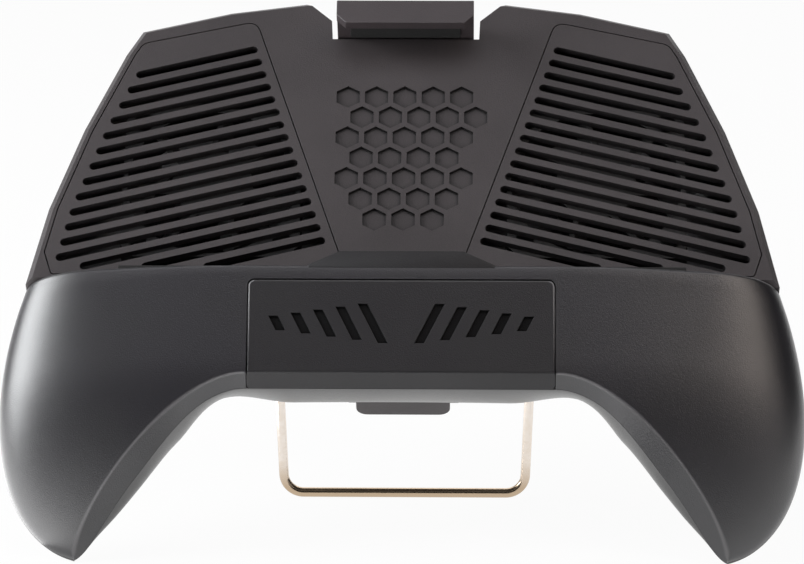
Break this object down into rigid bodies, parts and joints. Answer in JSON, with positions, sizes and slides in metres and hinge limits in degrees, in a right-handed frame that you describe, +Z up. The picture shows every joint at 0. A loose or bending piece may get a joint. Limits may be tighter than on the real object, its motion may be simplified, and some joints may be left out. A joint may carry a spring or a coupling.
{
  "type": "phone gaming grip",
  "caption": "Two-handled phone gaming grip with a leaning slotted cooling plate, a sprung top clamp, inner fans and a fold-out wire stand behind.",
  "frame": {"origin": "bottom centre of the bounding box, on the table the grip stands on", "axes": "+X to the right seen from the front, +Y to the back, +Z up; the phone plate leans back 45 degrees"},
  "size_m": [0.1764, 0.0958, 0.1138],
  "materials": {
    "shell_plastic": "satin moulded charcoal plastic with a fine spark texture",
    "rear_plastic": "satin moulded charcoal plastic",
    "frame_plastic": "satin moulded dark grey plastic",
    "grille_plastic": "satin moulded dark grey plastic with slots",
    "cover_plastic": "fine-textured moulded black plastic",
    "clamp_plastic": "matte moulded brown-grey plastic",
    "pad_rubber": "soft black rubber strip",
    "spring_steel": "bright spring steel",
    "screw_steel": "black-nickel steel",
    "wire_steel": "nickel-plated steel wire",
    "fan_plastic": "black glass-filled plastic",
    "battery_sleeve": "satin shrink sleeve over a metal can",
    "contact_brass": "sprung brass leaf",
    "board": "solder-masked circuit board",
    "socket_steel": "pressed steel shell",
    "button_plastic": "moulded black plastic"
  },
  "bodies": {
    "grip": {"front_shell": "shell_plastic", "rear_shell": "rear_plastic", "cradle_frame": "frame_plastic", "left_grille": "grille_plastic", "right_grille": "grille_plastic", "front_cover": "cover_plastic", "ledge_pads": "pad_rubber", "clamp_springs": "spring_steel", "spine_cover": "rear_plastic", "spine_screws": "screw_steel", "stand_brackets": "rear_plastic", "bracket_screws": "screw_steel", "left_fan_frame": "fan_plastic", "right_fan_frame": "fan_plastic", "fan_screws": "screw_steel", "battery_cell": "battery_sleeve", "battery_contacts": "contact_brass", "circuit_board": "board", "board_screws": "screw_steel", "usb_socket": "socket_steel", "case_screws": "screw_steel"},
    "clamp": {"clamp_slider": "clamp_plastic", "jaw_pad": "pad_rubber"},
    "left_rotor": {"left_impeller": "fan_plastic"},
    "right_rotor": {"right_impeller": "fan_plastic"},
    "button": {"power_button": "button_plastic"},
    "stand": {"kickstand": "wire_steel"}
  },
  "joints": [
    {"name": "clamp_slide", "type": "slide", "parent": "grip", "child": "clamp", "axis": [0, 0.7071, 0.7071], "range_m": [0, 0.022], "stiffness_N_per_m": 150, "springref_m": -0.02},
    {"name": "left_fan_spin", "type": "hinge", "parent": "grip", "child": "left_rotor", "pos_m": [-0.043, 0.00587, 0.06984], "axis": [0, -0.7071, 0.7071], "continuous": true},
    {"name": "right_fan_spin", "type": "hinge", "parent": "grip", "child": "right_rotor", "pos_m": [0.043, 0.00587, 0.06984], "axis": [0, -0.7071, 0.7071], "continuous": true},
    {"name": "button_press", "type": "slide", "parent": "grip", "child": "button", "axis": [0, -0.7071, 0.7071], "range_m": [0, 0.0008], "stiffness_N_per_m": 800, "springref_m": -0.0006},
    {"name": "stand_fold", "type": "hinge", "parent": "grip", "child": "stand", "pos_m": [0, 0.00665, 0.04361], "axis": [1, 0, 0], "range_deg": [-48.5, 0]}
  ]
}
